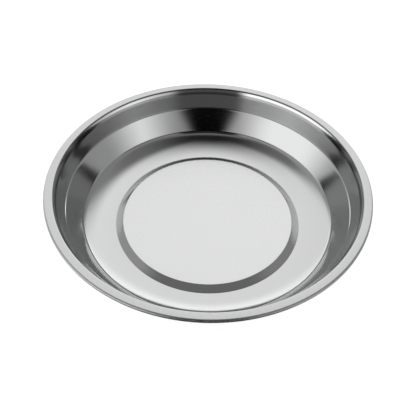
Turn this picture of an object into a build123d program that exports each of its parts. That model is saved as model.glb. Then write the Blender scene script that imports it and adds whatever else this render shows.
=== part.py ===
"""Round magnetic parts tray: a pressed stainless dish bonded to a rubber-covered ring magnet.

Millimetres, +Z up. The origin is the centre of the flat underside that the tray rests on, and
everything is turned about Z. Every sub-part is one solid in its own STEP file in parts/.
"""
from build123d import *
from math import cos, radians, sin
import os

os.makedirs("parts", exist_ok=True)

# Driving dimensions of the dish, measured on its upper surface
rim_radius = 75.0             # a nominal 150 mm dish
sheet_thickness = 0.6
plateau_radius = 39.9         # flat raised centre, over the magnet
plateau_bend = 0.8            # outer corner round the plateau
plateau_slope = 26.2          # degrees down from the plateau to the floor of the bowl
plateau_slope_length = 3.5
plateau_foot_bend = 1.0
bowl_foot_slope = 6.2         # degrees, where the bowl starts at the plateau's foot
bowl_floor_bend = 40.2        # radius of the shallow floor curve
bowl_floor_slope = 26.1       # degrees, where the floor gives way to the corner
bowl_corner_bend = 4.6        # rounded corner between floor and wall
bowl_wall_slope = 54.2        # degrees, where the corner gives way to the wall
bowl_wall_bend = 263.0        # radius of the wall curve
bowl_top_slope = 56.7
ledge_bend = 0.8              # soft outer corner from the bowl to the ledge
ledge_slope = 41.6            # narrow step that runs round the top of the bowl
ledge_width = 0.3
ledge_foot_bend = 0.45
band_slope = 60.6             # straight conical band above the ledge
band_length = 6.8
band_top_bend = 1.4           # inner corner where the band turns up into the neck
neck_slope = 65.3             # short steep neck that carries the rim
neck_length = 2.5
rim_bend = 1.0                # outer corner from the neck to the flat rim
curl_radius = 1.0             # the rim's outer edge is curled under, half round
curl_tail = 0.4

# Driving dimensions of the magnet base
cover_top_radius = 40.0
cover_bottom_radius = 39.4    # mould draft
cover_edge_radius = 1.6
cover_floor = 1.2
pocket_radius = 35.4
magnet_radius = 35.0          # a 70 x 32 x 8 ferrite ring
magnet_bore_radius = 16.0
magnet_thickness = 8.0
magnet_chamfer = 0.5
washer_thickness = 1.0
plug_radius = 15.6
pad_radius = 34.5
lower_pad_thickness = 0.3
upper_pad_thickness = 0.5
bond_thickness = 0.3
bond_inner_radius = 36.2
bond_outer_radius = 39.4

# Moulded relief in the underside of the cover
grip_groove_radii = (22.0, 26.0, 30.0)
grip_groove_width = 1.0
grip_groove_depth = 0.4
underside_dimple_radius = 12.0
underside_dimple_depth = 0.4

# Heights that follow from the stack of the base, from the underside up
lower_pad_base = cover_floor
washer_base = lower_pad_base + lower_pad_thickness
magnet_base = washer_base + washer_thickness
magnet_top = magnet_base + magnet_thickness
plateau_underside = magnet_top + upper_pad_thickness
plateau_top = plateau_underside + sheet_thickness
cover_height = plateau_underside - bond_thickness


def pressing_steps():
    """The dish's section from its centre outwards, as flat runs and bends to a new slope."""
    return [
        ("run", plateau_radius),
        ("bend", plateau_bend, -plateau_slope),
        ("run", plateau_slope_length),
        ("bend", plateau_foot_bend, bowl_foot_slope),
        ("bend", bowl_floor_bend, bowl_floor_slope),
        ("bend", bowl_corner_bend, bowl_wall_slope),
        ("bend", bowl_wall_bend, bowl_top_slope),
        ("bend", ledge_bend, ledge_slope),
        ("run", ledge_width),
        ("bend", ledge_foot_bend, band_slope),
        ("run", band_length),
        ("bend", band_top_bend, neck_slope),
        ("run", neck_length),
        ("bend", rim_bend, 0.0),
        ("run_to_radius", rim_radius - curl_radius),
        ("bend", curl_radius, -180.0),
        ("run", curl_tail),
    ]


def walk_section(depth):
    """Edges of the section, in the XZ plane, at a depth below the dish's upper surface.

    A surface parallel to the upper one has the same runs. A bend's radius grows by the depth
    where the sheet turns up, round a centre above it, and shrinks where the sheet turns down.
    """
    at = Vector(0, 0, plateau_top - depth)
    slope = 0.0
    edges = []
    for kind, amount, *new_slope in pressing_steps():
        heading = Vector(cos(radians(slope)), 0, sin(radians(slope)))
        if kind == "bend":
            turn = new_slope[0] - slope
            side = 1.0 if turn > 0 else -1.0
            radius = amount + side * depth
            centre = at + Vector(-heading.Z, 0, heading.X) * (side * radius)
            middle, end = (
                centre + Vector(sin(radians(angle)), 0, -cos(radians(angle))) * (side * radius)
                for angle in (slope + turn / 2, slope + turn)
            )
            edges.append(Edge.make_three_point_arc(at, middle, end))
            slope = new_slope[0]
        else:
            length = amount - at.X if kind == "run_to_radius" else amount
            end = at + heading * length
            edges.append(Edge.make_line(at, end))
        at = end
    return edges


def turned(edges):
    """The solid that a closed section in the XZ plane makes when it is turned about Z."""
    return revolve(Face(Wire(edges)), Axis.Z, 360)


def ring(outer_radius, inner_radius, base, height):
    """A flat washer shape, or a disc where the inner radius is nothing."""
    shape = Pos(0, 0, base) * extrude(Circle(outer_radius), height)
    if inner_radius:
        shape -= Pos(0, 0, base) * extrude(Circle(inner_radius), height)
    return shape


def make_dish():
    """The whole pressing, in one sheet from the plateau to the curled rim."""
    upper = walk_section(0.0)
    lower = walk_section(sheet_thickness)
    hem = Edge.make_line(upper[-1] @ 1, lower[-1] @ 1)
    centre_line = Edge.make_line(lower[0] @ 0, upper[0] @ 0)
    return turned([*upper, hem, *lower, centre_line])


def make_base_cover():
    """The rubber cup that holds the magnet and grips what the tray stands on."""
    outline = Polyline(
        (0, 0, 0),
        (cover_bottom_radius, 0, 0),
        (cover_top_radius, 0, cover_height),
        (0, 0, cover_height),
        close=True,
    )
    cover = turned(outline.edges())
    cover = fillet(cover.edges().sort_by(Axis.Z)[0], cover_edge_radius)
    cover -= ring(pocket_radius, 0, cover_floor, cover_height)
    cover -= ring(underside_dimple_radius, 0, 0, underside_dimple_depth)
    for radius in grip_groove_radii:
        half_width = grip_groove_width / 2
        cover -= ring(radius + half_width, radius - half_width, 0, grip_groove_depth)
    return cover


def make_ring_magnet():
    """The ferrite ring, with its pressed edges broken."""
    magnet = ring(magnet_radius, magnet_bore_radius, magnet_base, magnet_thickness)
    return chamfer(magnet.edges().filter_by(GeomType.CIRCLE), magnet_chamfer)


def make_sub_parts():
    """Every piece by its node name."""
    plug_height = magnet_top - washer_base
    return {
        "dish": make_dish(),
        "upper_adhesive_pad": ring(pad_radius, 0, magnet_top, upper_pad_thickness),
        "ring_magnet": make_ring_magnet(),
        "steel_washer": ring(magnet_radius, magnet_bore_radius, washer_base, washer_thickness),
        "centre_plug": ring(plug_radius, 0, washer_base, plug_height),
        "lower_adhesive_pad": ring(pad_radius, 0, lower_pad_base, lower_pad_thickness),
        "cover_bond_ring": ring(bond_outer_radius, bond_inner_radius, cover_height, bond_thickness),
        "base_cover": make_base_cover(),
    }


for node, shape in make_sub_parts().items():
    shape.label = node
    export_step(shape, f"parts/{node}.step")
    box = shape.bounding_box()
    print(f"{node}: {shape.volume:.0f} mm3, radius {box.max.X:.2f}, z {box.min.Z:.2f} to {box.max.Z:.2f}")
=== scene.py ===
"""Looks of the round magnetic parts tray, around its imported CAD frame. Metres, +Z up."""
import bmesh
import bpy
from math import ceil, cos, pi, radians, sin, tan
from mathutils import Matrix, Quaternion, Vector


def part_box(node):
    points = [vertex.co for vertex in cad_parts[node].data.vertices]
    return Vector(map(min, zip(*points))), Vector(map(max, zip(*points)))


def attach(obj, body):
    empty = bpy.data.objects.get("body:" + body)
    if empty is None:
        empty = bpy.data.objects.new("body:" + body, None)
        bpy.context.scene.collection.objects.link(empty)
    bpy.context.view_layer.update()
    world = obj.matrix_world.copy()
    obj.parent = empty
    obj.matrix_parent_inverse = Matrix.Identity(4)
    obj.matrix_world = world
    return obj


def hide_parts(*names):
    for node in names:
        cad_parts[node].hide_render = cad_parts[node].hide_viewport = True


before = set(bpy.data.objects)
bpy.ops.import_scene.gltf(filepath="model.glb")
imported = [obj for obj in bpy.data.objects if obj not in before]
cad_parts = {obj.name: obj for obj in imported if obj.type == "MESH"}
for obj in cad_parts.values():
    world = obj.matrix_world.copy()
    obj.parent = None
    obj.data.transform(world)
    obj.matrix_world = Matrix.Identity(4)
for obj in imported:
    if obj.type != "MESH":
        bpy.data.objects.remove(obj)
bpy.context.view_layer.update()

MM = 0.001

# ---------------------------------------------------------------- sizes read from the frame
dish_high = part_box("dish")[1]
cover_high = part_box("base_cover")[1]
pad_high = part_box("upper_adhesive_pad")[1]
pocket_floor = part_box("lower_adhesive_pad")[0].z
rim_radius = dish_high.x
rim_top = dish_high.z

# ---------------------------------------------------------------- the pressing's section
# Lengths in metres and slopes in degrees, all on the dish's upper surface
sheet_thickness = 0.6 * MM
plateau_top = pad_high.z + sheet_thickness
plateau_radius = 39.9 * MM
plateau_bend = 0.8 * MM
plateau_slope = 26.2
plateau_slope_length = 3.5 * MM
plateau_foot_bend = 1.0 * MM
bowl_foot_slope = 6.2
bowl_floor_bend = 40.2 * MM
bowl_floor_slope = 26.1
bowl_corner_bend = 4.6 * MM
bowl_wall_slope = 54.2
bowl_wall_bend = 263.0 * MM
bowl_top_slope = 56.7
ledge_bend = 0.8 * MM
ledge_slope = 41.6
ledge_width = 0.3 * MM
ledge_foot_bend = 0.45 * MM
band_slope = 60.6
band_length = 6.8 * MM
band_top_bend = 1.4 * MM
neck_slope = 65.3
neck_length = 2.5 * MM
rim_bend = 1.0 * MM
rim_width = 3.7 * MM            # from the rim's inner edge to its outermost point
curl_radius = 1.0 * MM
curl_tail = 0.4 * MM

# From the centre outwards: flat runs, and bends to a new slope
PRESSING_STEPS = [
    ("run", plateau_radius),
    ("bend", plateau_bend, -plateau_slope),
    ("run", plateau_slope_length),
    ("bend", plateau_foot_bend, bowl_foot_slope),
    ("bend", bowl_floor_bend, bowl_floor_slope),
    ("bend", bowl_corner_bend, bowl_wall_slope),
    ("bend", bowl_wall_bend, bowl_top_slope),
    ("bend", ledge_bend, ledge_slope),
    ("run", ledge_width),
    ("bend", ledge_foot_bend, band_slope),
    ("run", band_length),
    ("bend", band_top_bend, neck_slope),
    ("run", neck_length),
    ("bend", rim_bend, 0.0),
    ("run_to_radius", rim_radius - curl_radius),
    ("bend", curl_radius, -180.0),
    ("run", curl_tail),
]

# ---------------------------------------------------------------- the rubber cover
cover_bottom_radius = 39.4 * MM
cover_edge_bend = 1.6 * MM
cover_lip_bend = 0.25 * MM
pocket_radius = 35.4 * MM
pocket_bend = 0.3 * MM
dimple_radius = 12.0 * MM
groove_radii = (22.0 * MM, 26.0 * MM, 30.0 * MM)
groove_half_width = 0.5 * MM
relief_depth = 0.4 * MM         # of the grooves and of the dimple
relief_bend = 0.12 * MM

# ---------------------------------------------------------------- fineness of the meshes
LATHE_SEGMENTS = 512
LONGEST_BEND_STEP = 0.8 * MM
LONGEST_RUN_STEP = 2.0 * MM
WIDEST_BEND_STEP = 6.0          # degrees, in the pressing
WIDEST_CORNER_STEP = 12.0       # degrees, in the cover
ON_AXIS = 1e-9                  # a radius below this is a point on the axis
DISH_SHARP_ANGLE = 40.0         # degrees between faces that are shaded as an edge
COVER_SHARP_ANGLE = 50.0


def walk_section(depth):
    """(radius, height) points of the section at a depth below the dish's upper surface."""
    radius, height, slope = 0.0, plateau_top - depth, 0.0
    points = [(radius, height)]
    for kind, amount, *new_slope in PRESSING_STEPS:
        if kind == "bend":
            turn = new_slope[0] - slope
            side = 1.0 if turn > 0 else -1.0
            bend = amount + side * depth
            arc_length = radians(abs(turn)) * bend
            steps = ceil(max(abs(turn) / WIDEST_BEND_STEP, arc_length / LONGEST_BEND_STEP))
            start_radius = radius - side * bend * sin(radians(slope))
            start_height = height + side * bend * cos(radians(slope))
            for step in range(1, steps + 1):
                angle = radians(slope + turn * step / steps)
                radius = start_radius + side * bend * sin(angle)
                height = start_height - side * bend * cos(angle)
                points.append((radius, height))
            slope = new_slope[0]
        else:
            length = amount - radius if kind == "run_to_radius" else amount
            steps = ceil(length / LONGEST_RUN_STEP)
            start_radius, start_height = radius, height
            for step in range(1, steps + 1):
                radius = start_radius + length * step / steps * cos(radians(slope))
                height = start_height + length * step / steps * sin(radians(slope))
                points.append((radius, height))
    return points


# ---------------------------------------------------------------- mesh helpers
def rounded_outline(corners):
    """(radius, height) points through the corners, each rounded to its own radius by an arc."""
    points = []
    last = len(corners) - 1
    for index, (r, z, bend) in enumerate(corners):
        here = Vector((r, z))
        if index in (0, last) or not bend:
            points.append((r, z))
            continue
        before = (Vector(corners[index - 1][:2]) - here).normalized()
        after = (Vector(corners[index + 1][:2]) - here).normalized()
        half_angle = before.angle(after) / 2
        tangent_length = bend / tan(half_angle)
        centre = here + (before + after).normalized() * (bend / sin(half_angle))
        start = here + before * tangent_length - centre
        sweep = start.angle_signed(here + after * tangent_length - centre)
        steps = ceil(abs(sweep) / radians(WIDEST_CORNER_STEP))
        for step in range(steps + 1):
            angle = -sweep * step / steps
            points.append((centre.x + start.x * cos(angle) - start.y * sin(angle),
                           centre.y + start.x * sin(angle) + start.y * cos(angle)))
    return points


def lathe(name, outline, sharp_angle):
    """A closed solid: the outline, which starts and ends on the axis, turned about Z."""
    mesh = bmesh.new()
    turns = [2 * pi * k / LATHE_SEGMENTS for k in range(LATHE_SEGMENTS)]
    rings = []
    for radius, height in outline:
        if radius < ON_AXIS:
            rings.append([mesh.verts.new((0, 0, height))])
        else:
            rings.append([mesh.verts.new((radius * cos(a), radius * sin(a), height)) for a in turns])
    for inner, outer in zip(rings, rings[1:]):
        for k in range(LATHE_SEGMENTS):
            after = (k + 1) % LATHE_SEGMENTS
            if len(inner) == 1:
                mesh.faces.new((inner[0], outer[k], outer[after]))
            elif len(outer) == 1:
                mesh.faces.new((inner[k], outer[0], inner[after]))
            else:
                mesh.faces.new((inner[k], outer[k], outer[after], inner[after]))
    bmesh.ops.recalc_face_normals(mesh, faces=mesh.faces)
    data = bpy.data.meshes.new(name)
    mesh.to_mesh(data)
    mesh.free()
    data.shade_smooth()
    data.set_sharp_from_angle(angle=radians(sharp_angle))
    piece = bpy.data.objects.new(name, data)
    bpy.context.scene.collection.objects.link(piece)
    return piece


def make_dish():
    """The whole pressing: its upper surface out to the hem, and back along the underside."""
    upper = walk_section(0.0)
    lower = walk_section(sheet_thickness)
    return lathe("pressed_dish", upper + lower[::-1], DISH_SHARP_ANGLE)


def make_base_cover():
    """The rubber cup: a soft lower edge, grip grooves and a dimple underneath, a pocket on top."""
    top = cover_high.z
    corners = [
        (0, relief_depth, 0),
        (dimple_radius, relief_depth, relief_bend),
        (dimple_radius, 0, relief_bend),
    ]
    for groove in groove_radii:
        inner, outer = groove - groove_half_width, groove + groove_half_width
        corners += [(inner, 0, relief_bend), (inner, relief_depth, relief_bend)]
        corners += [(outer, relief_depth, relief_bend), (outer, 0, relief_bend)]
    corners += [
        (cover_bottom_radius, 0, cover_edge_bend),
        (cover_high.x, top, cover_lip_bend),
        (pocket_radius, top, cover_lip_bend),
        (pocket_radius, pocket_floor, pocket_bend),
        (0, pocket_floor, 0),
    ]
    return lathe("rubber_base_cover", rounded_outline(corners), COVER_SHARP_ANGLE)


# ---------------------------------------------------------------- node helpers
class Nodes:
    """Short calls for building a node tree. Each returns the new node's first output."""

    def __init__(self, tree):
        self.tree = tree

    def add(self, kind, inputs=(), **settings):
        node = self.tree.nodes.new(kind)
        for key, value in settings.items():
            setattr(node, key, value)
        for key, value in dict(inputs).items():
            self.feed(node.inputs[key], value)
        return node

    def feed(self, socket, value):
        if isinstance(value, bpy.types.NodeSocket):
            self.tree.links.new(value, socket)
        else:
            socket.default_value = value

    def math(self, operation, a, b=0.0, c=0.0):
        return self.add("ShaderNodeMath", {0: a, 1: b, 2: c}, operation=operation).outputs[0]

    def times(self, a, b):
        return self.math("MULTIPLY", a, b)

    def without(self, value):
        """One less the value."""
        return self.math("SUBTRACT", 1.0, value)

    def between(self, value, low, high):
        """One between the low ramp and the high ramp, each a pair of values it fades over."""
        return self.times(self.step(value, *low), self.without(self.step(value, *high)))

    def step(self, value, low, high):
        """Nothing below low, one above high, and a smooth rise between them."""
        node = self.add("ShaderNodeMapRange", interpolation_type="SMOOTHSTEP")
        for key, number in (("Value", value), ("From Min", low), ("From Max", high)):
            self.feed(node.inputs[key], number)
        return node.outputs["Result"]

    def mix(self, factor, a, b):
        """a where factor is nothing, b where it is one, for plain numbers."""
        node = self.add("ShaderNodeMix", data_type="FLOAT")
        for index, value in ((0, factor), (2, a), (3, b)):
            self.feed(node.inputs[index], value)
        return node.outputs[0]

    def mix_colour(self, factor, a, b):
        node = self.add("ShaderNodeMix", data_type="RGBA")
        for index, value in ((0, factor), (6, a), (7, b)):
            self.feed(node.inputs[index], value)
        return node.outputs[2]

    def noise(self, vector, scale, detail=2.0, roughness=0.5):
        inputs = {"Vector": vector, "Scale": scale, "Detail": detail, "Roughness": roughness}
        return self.add("ShaderNodeTexNoise", inputs).outputs["Fac"]

    def stretched(self, vector, scale):
        """The vector with each axis multiplied, so that a noise on it becomes streaks."""
        return self.add("ShaderNodeVectorMath", {0: vector, 1: scale}, operation="MULTIPLY").outputs[0]

    def bump(self, height, strength, distance):
        inputs = {"Height": height, "Strength": strength, "Distance": distance}
        return self.add("ShaderNodeBump", inputs).outputs[0]


def new_material(name):
    """A material with a Principled shader; returns it with its node helper and the shader."""
    material = bpy.data.materials.new(name)
    material.use_nodes = True
    tree = material.node_tree
    tree.nodes.clear()
    nodes = Nodes(tree)
    shader = nodes.add("ShaderNodeBsdfPrincipled")
    output = nodes.add("ShaderNodeOutputMaterial")
    tree.links.new(shader.outputs[0], output.inputs["Surface"])
    return material, nodes, shader


def place_and_radius(nodes):
    """The object's own coordinates in metres, the distance from its axis, and the height."""
    place = nodes.add("ShaderNodeTexCoord").outputs["Object"]
    x, y, height = nodes.add("ShaderNodeSeparateXYZ", {0: place}).outputs
    squares = nodes.math("ADD", nodes.times(x, x), nodes.times(y, y))
    return place, nodes.math("SQRT", squares), height


# ---------------------------------------------------------------- materials
# Colours as (dark, pale) pairs, and roughness as (glossy, dull) pairs
POLISHED_COLOURS = (0.665, 0.672, 0.670, 1), (0.715, 0.720, 0.717, 1)
# The plateau's steel, paler than the same sheet elsewhere: painted light on top of its own colour
PLATEAU_COLOURS_WITH_PAINTED_LIGHT = (0.81, 0.817, 0.815, 1), (0.86, 0.865, 0.862, 1)
# Painted shade: the dark of the thin rings in the bends at the neck's foot and under the rim
CREASE_SHADE_COLOUR = (0.24, 0.24, 0.245, 1)
RUBBED_COLOUR = (0.76, 0.765, 0.765, 1)
POLISHED_ROUGHNESS = 0.09, 0.14
SATIN_ROUGHNESS = 0.24, 0.32
RUBBED_ROUGHNESS = 0.42
CREASE_SHADE_STRENGTH = 0.85
STEEL_BUMPS = 0.015, 0.035      # polished, satin
STEEL_BUMP_DEPTH = 0.01 * MM
RUBBER_COLOURS = (0.016, 0.016, 0.017, 1), (0.034, 0.034, 0.036, 1)
SCUFF_COLOUR = (0.085, 0.084, 0.082, 1)
RUBBER_ROUGHNESS = 0.52, 0.74
TABLE_COLOURS = (0.90, 0.90, 0.90, 1), (0.92, 0.92, 0.92, 1)
TABLE_GLOW = 0.80


def rolled_grain(nodes, place):
    """Fine straight streaks along X, as the sheet left the rolls."""
    return nodes.noise(nodes.stretched(place, (300.0, 9000.0, 300.0)), 1.0, 3.0, 0.6)


def turned_grain(nodes, radius, height):
    """Fine rings round the axis, as the polishing wheel left them."""
    section_place = nodes.add("ShaderNodeCombineXYZ", {0: radius, 1: height}).outputs[0]
    return nodes.noise(nodes.stretched(section_place, (2600.0, 2600.0, 1.0)), 1.0, 3.0, 0.6)


def painted_crease_shade(nodes, radius, height):
    """Two thin rings of painted shade in the bends: along the neck's foot, and under the rim."""
    depth = nodes.math("SUBTRACT", rim_top, height)
    outside = nodes.step(radius, rim_radius - 6.2 * MM, rim_radius - 6.0 * MM)
    inside = nodes.without(nodes.step(radius, rim_radius - 3.9 * MM, rim_radius - rim_width))
    foot = nodes.between(depth, (1.5 * MM, 1.9 * MM), (2.8 * MM, 3.1 * MM))
    brow = nodes.between(depth, (0.08 * MM, 0.2 * MM), (0.45 * MM, 0.7 * MM))
    return nodes.times(nodes.math("MAXIMUM", foot, brow), nodes.times(outside, inside))


def rim_wear(nodes, place, radius):
    """Patches rubbed dull along the curl of the rim."""
    at_edge = nodes.step(radius, rim_radius - 0.7 * MM, rim_radius)
    patches = nodes.step(nodes.noise(place, 260.0, 4.0, 0.7), 0.45, 0.65)
    return nodes.times(at_edge, patches)


def polished_stainless():
    """One sheet: plateau and rim satin as rolled, bowl and band polished by a wheel."""
    material, nodes, shader = new_material("polished_stainless")
    place, radius, height = place_and_radius(nodes)
    on_plateau = nodes.without(nodes.step(radius, plateau_radius, plateau_radius + 0.5 * MM))
    rim_inner_radius = rim_radius - rim_width
    on_rim = nodes.step(radius, rim_inner_radius - 0.4 * MM, rim_inner_radius)
    satin = nodes.math("MAXIMUM", on_plateau, on_rim)
    grain = nodes.mix(satin, turned_grain(nodes, radius, height), rolled_grain(nodes, place))
    cloud = nodes.noise(place, 38.0, 3.0, 0.55)
    smudge = nodes.noise(place, 130.0, 4.0, 0.6)
    rubbed = rim_wear(nodes, place, radius)

    tone = nodes.math("ADD", nodes.times(cloud, 0.5), nodes.times(grain, 0.5))
    # The plateau takes the paler colours, which paint extra light onto the same steel
    colour = nodes.mix_colour(on_plateau, nodes.mix_colour(tone, *POLISHED_COLOURS),
                              nodes.mix_colour(tone, *PLATEAU_COLOURS_WITH_PAINTED_LIGHT))
    # Painted shade darkens the steel's colour in two thin rings along the bends
    crease_shade = nodes.times(painted_crease_shade(nodes, radius, height), CREASE_SHADE_STRENGTH)
    colour = nodes.mix_colour(crease_shade, colour, CREASE_SHADE_COLOUR)
    nodes.feed(shader.inputs["Base Color"], nodes.mix_colour(rubbed, colour, RUBBED_COLOUR))
    shader.inputs["Metallic"].default_value = 1.0

    polished = nodes.mix(smudge, *POLISHED_ROUGHNESS)
    finish = nodes.mix(satin, polished, nodes.mix(grain, *SATIN_ROUGHNESS))
    nodes.feed(shader.inputs["Roughness"], nodes.mix(rubbed, finish, RUBBED_ROUGHNESS))
    bump = nodes.bump(grain, nodes.mix(satin, *STEEL_BUMPS), STEEL_BUMP_DEPTH)
    nodes.feed(shader.inputs["Normal"], bump)
    return material


def moulded_rubber():
    """Black rubber with a fine moulded texture and paler scuffs along its lower edge."""
    material, nodes, shader = new_material("moulded_rubber")
    place, _, height = place_and_radius(nodes)
    cloud = nodes.noise(place, 90.0, 4.0, 0.6)
    speckle = nodes.noise(place, 2600.0, 2.0, 0.5)
    scuff = nodes.times(nodes.step(nodes.noise(place, 420.0, 5.0, 0.7), 0.55, 0.75),
                        nodes.without(nodes.step(height, 0.6 * MM, 2.4 * MM)))
    clean = nodes.mix_colour(cloud, *RUBBER_COLOURS)
    nodes.feed(shader.inputs["Base Color"], nodes.mix_colour(scuff, clean, SCUFF_COLOUR))
    nodes.feed(shader.inputs["Roughness"], nodes.mix(cloud, *RUBBER_ROUGHNESS))
    nodes.feed(shader.inputs["Normal"], nodes.bump(speckle, 0.35, 0.05 * MM))
    return material


def grained(name, dark, pale, rough, grain_scale, grain_depth, metallic=0.0):
    """A plain material for the pieces inside the base: two tones, a grain and uneven gloss."""
    material, nodes, shader = new_material(name)
    place = place_and_radius(nodes)[0]
    cloud = nodes.noise(place, 70.0, 4.0, 0.6)
    grain = nodes.noise(place, grain_scale, 3.0, 0.6)
    tone = nodes.math("ADD", nodes.times(cloud, 0.6), nodes.times(grain, 0.4))
    nodes.feed(shader.inputs["Base Color"], nodes.mix_colour(tone, (*dark, 1), (*pale, 1)))
    nodes.feed(shader.inputs["Roughness"], nodes.mix(grain, *rough))
    shader.inputs["Metallic"].default_value = metallic
    nodes.feed(shader.inputs["Normal"], nodes.bump(grain, 0.4, grain_depth))
    return material


def white_table():
    """A pale studio table, lit from within a little so that it stays nearly white."""
    material, nodes, shader = new_material("studio_table")
    place = nodes.add("ShaderNodeTexCoord").outputs["Object"]
    cloud = nodes.noise(place, 3.0, 2.0, 0.5)
    nodes.feed(shader.inputs["Base Color"], nodes.mix_colour(cloud, *TABLE_COLOURS))
    shader.inputs["Roughness"].default_value = 0.9
    shader.inputs["Specular IOR Level"].default_value = 0.1
    shader.inputs["Emission Color"].default_value = (1, 1, 1, 1)
    shader.inputs["Emission Strength"].default_value = TABLE_GLOW
    return material


# ---------------------------------------------------------------- studio
# All angles are in degrees, as seen from the tray. Azimuth 0 is to the right, 90 towards the
# camera, 180 to the left and 270 behind the tray. Brightness 1 is white.
ROOM_LEFT, ROOM_RIGHT, ROOM_UPPER, ROOM_OVERHEAD = 0.36, 0.26, 0.17, 0.01
BACKDROP_AZIMUTH = 264.0
BACKDROP_HALF_WIDTH = 39.0
BACKDROP_FLARE = 33.0           # wider by this at the table
BACKDROP_SIDE_FADE = 11.0
BACKDROP_TOP, BACKDROP_TOP_FADE = 70.4, 15.5
CLOTH_BRIGHTNESS, CLOTH_TO_THE_RIGHT = 0.94, 0.115
SWEEP_BRIGHTNESS = 1.42         # of the cloth's foot, against the rest of the cloth
LAMP_LEAN = 15.0                # how much higher a lamp's edge is beside the camera
LAMP_EDGE_FADE = 1.3
PERSON_AZIMUTH, PERSON_SIDE_FADE = 88.0, 5.0
PERSON_TOP, PERSON_TOP_FADE = 69.0, 6.0
PERSON_LOW, PERSON_MIDDLE, PERSON_UPPER = 0.085, 0.001, 0.02
UNDERSIDE_BRIGHTNESS = 0.04
SHOWN_BEHIND_THE_TABLE = 1.0


def around(nodes, azimuth, centre, half_width, soft):
    """One near the centre azimuth, fading to nothing over soft degrees each side of half_width."""
    turn = nodes.math("WRAP", nodes.math("SUBTRACT", azimuth, centre), 180.0, -180.0)
    overshoot = nodes.math("SUBTRACT", nodes.math("ABSOLUTE", turn), half_width)
    return nodes.without(nodes.step(overshoot, -soft, soft))


def below(nodes, elevation, top, soft):
    """One below the top elevation, fading to nothing over soft degrees each side of it."""
    return nodes.without(nodes.step(elevation, top - soft, top + soft))


def panel(nodes, azimuth, level, sides, levels, soft):
    """One inside a patch of the studio's wall, given by its azimuths and its levels."""
    centre, half_width = (sides[0] + sides[1]) / 2, (sides[1] - sides[0]) / 2
    tall = nodes.math("SUBTRACT", below(nodes, level, levels[1], LAMP_EDGE_FADE),
                      below(nodes, level, levels[0], LAMP_EDGE_FADE))
    return nodes.times(around(nodes, azimuth, centre, half_width, soft), tall)


def light_of_room(nodes, x, y, elevation):
    """A dim room, lighter to the left, that darkens upwards and over the tray."""
    room = nodes.mix(nodes.step(x, -0.5, 0.3), ROOM_LEFT, ROOM_RIGHT)
    upper_room = nodes.mix(nodes.step(elevation, 50.0, 64.0), room, ROOM_UPPER)
    overhead = nodes.times(nodes.step(elevation, 64.0, 86.0), nodes.step(y, -0.13, -0.02))
    return nodes.mix(overhead, upper_room, ROOM_OVERHEAD)


def add_backdrop(nodes, light, x, azimuth, elevation):
    """A white cloth behind the tray, wider and brighter where it sweeps down to the table."""
    flare = nodes.times(nodes.without(nodes.step(elevation, 0.0, 15.0)), BACKDROP_FLARE)
    width = nodes.math("ADD", flare, BACKDROP_HALF_WIDTH)
    backdrop = nodes.times(
        around(nodes, azimuth, BACKDROP_AZIMUTH, width, BACKDROP_SIDE_FADE),
        below(nodes, elevation, BACKDROP_TOP, BACKDROP_TOP_FADE))
    cloth = nodes.math("ADD", nodes.times(x, CLOTH_TO_THE_RIGHT), CLOTH_BRIGHTNESS)
    sweep = nodes.mix(nodes.step(elevation, 9.0, 27.0), SWEEP_BRIGHTNESS, 1.0)
    return nodes.mix(backdrop, light, nodes.times(cloth, sweep))


def add_lamps(nodes, light, azimuth, level):
    """Left and right of the camera: softboxes, dark over them, and their spill and low lamps."""
    right_glow = around(nodes, azimuth, 33.0, 13.0, 20.0)
    left_glow = around(nodes, azimuth, 155.0, 30.0, 18.0)
    left_core = around(nodes, azimuth, 148.0, 16.0, 28.0)
    dark_levels, box_levels = (20.8, 28.0), (9.5, 20.8)
    spill_levels, low_levels = (2.2, 9.5), (-9.0, 2.2)
    for sides, levels, soft, brightness in (
        ((10.0, 150.0), dark_levels, 3.0, 0.03),
        ((-25.0, 72.0), box_levels, 4.0, nodes.mix(right_glow, 0.36, 1.06)),
        ((104.0, 206.0), box_levels, 4.0, nodes.mix(left_glow, 0.45, 1.18)),
        ((-12.0, 74.0), spill_levels, 4.0, nodes.mix(right_glow, 0.13, 0.26)),
        ((106.0, 196.0), spill_levels, 4.0, nodes.mix(left_core, 0.22, 0.52)),
        ((-12.0, 70.0), low_levels, 3.0, nodes.mix(right_glow, 0.60, 1.30)),
        ((104.0, 188.0), low_levels, 3.0, 1.60),
    ):
        light = nodes.mix(panel(nodes, azimuth, level, sides, levels, soft), light, brightness)
    return light


def add_person(nodes, light, azimuth, elevation, level):
    """The dark shape of whoever holds the camera: narrow at the waist, wide above it."""
    waist = nodes.mix(nodes.step(level, 12.0, 20.5), 24.0, 13.0)
    half_width = nodes.mix(nodes.step(level, 20.0, 23.0), waist, 29.0)
    person = nodes.times(
        around(nodes, azimuth, PERSON_AZIMUTH, half_width, PERSON_SIDE_FADE),
        below(nodes, elevation, PERSON_TOP, PERSON_TOP_FADE))
    shade = nodes.mix(nodes.step(level, 8.0, 11.0), PERSON_LOW, PERSON_MIDDLE)
    shade = nodes.mix(nodes.step(elevation, 38.0, 46.0), shade, PERSON_UPPER)
    return nodes.mix(person, light, shade)


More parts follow.
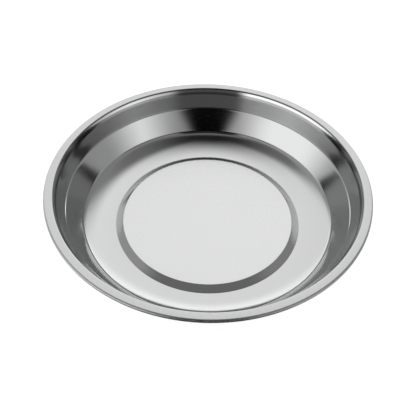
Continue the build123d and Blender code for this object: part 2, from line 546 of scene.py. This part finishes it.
def make_studio():
    """A bright backdrop, softboxes left and right of the camera, and a dim room between."""
    world = bpy.data.worlds.new("studio")
    bpy.context.scene.world = world
    world.use_nodes = True
    world.node_tree.nodes.clear()
    nodes = Nodes(world.node_tree)
    direction = nodes.add("ShaderNodeTexCoord").outputs["Generated"]
    x, y, z = nodes.add("ShaderNodeSeparateXYZ", {0: direction}).outputs
    towards_camera = nodes.times(y, -1.0)
    azimuth = nodes.times(nodes.math("ARCTAN2", towards_camera, x), 180 / pi)
    elevation = nodes.times(nodes.math("ARCSINE", z), 180 / pi)
    # A lamp's edge is at one level, but its elevation rises towards the camera
    level = nodes.math("SUBTRACT", elevation, nodes.times(towards_camera, LAMP_LEAN))

    light = light_of_room(nodes, x, y, elevation)
    light = add_backdrop(nodes, light, x, azimuth, elevation)
    light = add_lamps(nodes, light, azimuth, level)
    light = add_person(nodes, light, azimuth, elevation, level)
    # Dark under the table's level on the camera's side
    underside = nodes.times(around(nodes, azimuth, 90.0, 55.0, 20.0), below(nodes, elevation, -6.0, 3.0))
    light = nodes.mix(underside, light, UNDERSIDE_BRIGHTNESS)

    seen = nodes.add("ShaderNodeLightPath").outputs["Is Camera Ray"]
    shown = nodes.mix(seen, light, SHOWN_BEHIND_THE_TABLE)
    background = nodes.add("ShaderNodeBackground", {"Color": (1, 1, 1, 1), "Strength": shown})
    output = nodes.add("ShaderNodeOutputWorld")
    nodes.tree.links.new(background.outputs[0], output.inputs["Surface"])
    bpy.context.scene.view_settings.view_transform = "Standard"


TABLE_HALF_WIDTH = 3.0
TABLE_SEGMENTS = 24
TABLE_CLEARANCE = 0.02 * MM     # under the cover, so that the two faces don't flicker


def make_floor():
    """A wide table under the tray. The steel doesn't mirror it, so its own edges stay dark."""
    mesh = bmesh.new()
    bmesh.ops.create_grid(mesh, x_segments=TABLE_SEGMENTS, y_segments=TABLE_SEGMENTS,
                          size=TABLE_HALF_WIDTH)
    data = bpy.data.meshes.new("floor")
    mesh.to_mesh(data)
    mesh.free()
    floor = bpy.data.objects.new("floor", data)
    floor.visible_glossy = False
    floor.location.z = -TABLE_CLEARANCE
    bpy.context.scene.collection.objects.link(floor)
    floor.data.materials.append(white_table())


CAMERA_DISTANCE = 4.671         # in rim radii
CAMERA_ELEVATION = 45.22        # degrees
CAMERA_ROLL = 2.0               # degrees
AIM_BELOW_RIM = 0.5 * MM
SENSOR_WIDTH = 36.0
VIEW_WIDTH = 416.0              # the focal length and the shifts are counted in parts of it
FOCAL_LENGTH = 765.2
SHIFT_X, SHIFT_Y = -0.7, -22.95


def make_camera():
    """From the front, looking down at about 45 degrees, rolled a little clockwise."""
    elevation = radians(CAMERA_ELEVATION)
    data = bpy.data.cameras.new("camera")
    data.sensor_width = SENSOR_WIDTH
    data.lens = FOCAL_LENGTH / VIEW_WIDTH * SENSOR_WIDTH
    data.shift_x = SHIFT_X / VIEW_WIDTH
    data.shift_y = SHIFT_Y / VIEW_WIDTH
    camera = bpy.data.objects.new("camera", data)
    bpy.context.scene.collection.objects.link(camera)
    aim = Vector((0, 0, rim_top - AIM_BELOW_RIM))
    back = Vector((0, -cos(elevation), sin(elevation)))
    camera.location = aim + back * CAMERA_DISTANCE * rim_radius
    roll = Quaternion(back, radians(CAMERA_ROLL))
    camera.rotation_mode = "QUATERNION"
    camera.rotation_quaternion = roll @ (-back).to_track_quat("-Z", "Y")
    bpy.context.scene.camera = camera


# ---------------------------------------------------------------- assembly
def stand_for(piece, node, material):
    """The piece is shown in place of the CAD node, with a material of its own."""
    piece.data.materials.append(material)
    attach(piece, "root")
    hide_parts(node)


def dress_inner_pieces():
    """Better materials for the pieces sealed inside the base, whose shapes the frame has."""
    adhesive = grained("adhesive_film", (0.56, 0.53, 0.44), (0.70, 0.67, 0.58), (0.35, 0.6),
                       900.0, 0.03 * MM)
    ferrite = grained("ferrite", (0.055, 0.056, 0.060), (0.105, 0.106, 0.112), (0.45, 0.7),
                      1800.0, 0.04 * MM)
    zinc = grained("zinc_plated_steel", (0.50, 0.51, 0.54), (0.66, 0.67, 0.69), (0.25, 0.45),
                   1200.0, 0.02 * MM, metallic=1.0)
    foam = grained("foam_plastic", (0.72, 0.72, 0.70), (0.86, 0.86, 0.84), (0.7, 0.9),
                   1500.0, 0.12 * MM)
    finishes = {
        "ring_magnet": ferrite,
        "steel_washer": zinc,
        "centre_plug": foam,
        "upper_adhesive_pad": adhesive,
        "lower_adhesive_pad": adhesive,
        "cover_bond_ring": adhesive,
    }
    for node, material in finishes.items():
        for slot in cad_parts[node].material_slots:
            slot.material = material


stand_for(make_dish(), "dish", polished_stainless())
stand_for(make_base_cover(), "base_cover", moulded_rubber())
dress_inner_pieces()
make_studio()
make_floor()
make_camera()
